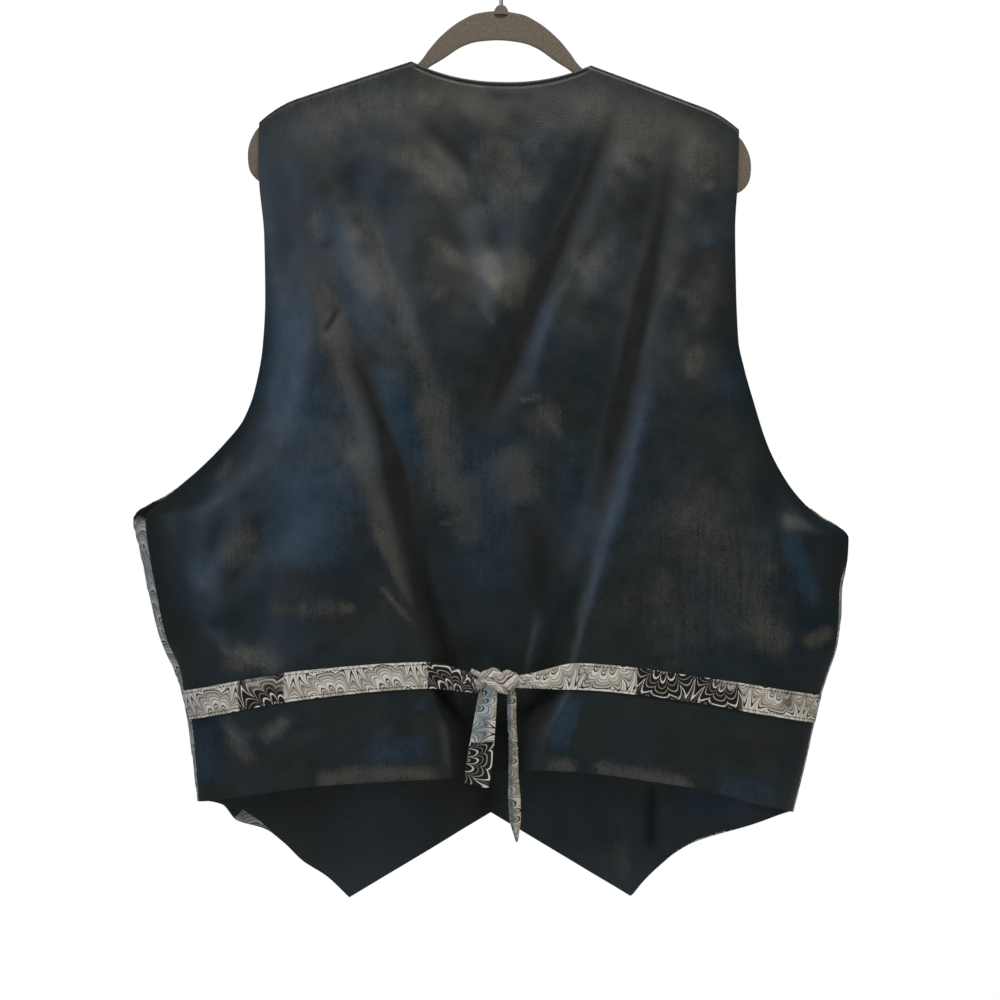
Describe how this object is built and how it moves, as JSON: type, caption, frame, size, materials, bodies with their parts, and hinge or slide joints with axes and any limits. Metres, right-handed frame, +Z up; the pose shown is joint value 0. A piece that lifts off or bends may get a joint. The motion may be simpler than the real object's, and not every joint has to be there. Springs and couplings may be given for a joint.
{
  "type": "formal vest on a clothes hanger",
  "caption": "Black satin formal vest hung on a flocked hanger, its back drawn in by a tied half belt of marbled print cloth.",
  "frame": {"origin": "point under the top of the hanger's hook that bears on a rail", "axes": "+Z up, the vest's back faces -Y, its fronts face +Y, the wearer's left is at -X"},
  "size_m": [0.6285, 0.1037, 0.8565],
  "materials": {
    "black_satin": "glossy woven satin",
    "black_lining_satin": "soft lining satin",
    "marbled_print": "printed plain weave, combed marbling in cream, grey and black",
    "black_resin": "polished resin",
    "taupe_flock": "flocked",
    "plated_steel": "bright plated wire"
  },
  "bodies": {
    "root": {"back_panel": "black_satin", "front_left": "marbled_print", "front_right": "marbled_print", "lining_left": "black_lining_satin", "lining_right": "black_lining_satin", "belt_left": "marbled_print", "belt_right": "marbled_print", "belt_knot": "marbled_print", "belt_tail_left": "marbled_print", "belt_tail_right": "marbled_print", "button_1": "black_resin", "button_2": "black_resin", "button_3": "black_resin", "button_4": "black_resin", "button_5": "black_resin", "hanger_body": "taupe_flock", "hanger_hook": "plated_steel"}
  },
  "joints": []
}
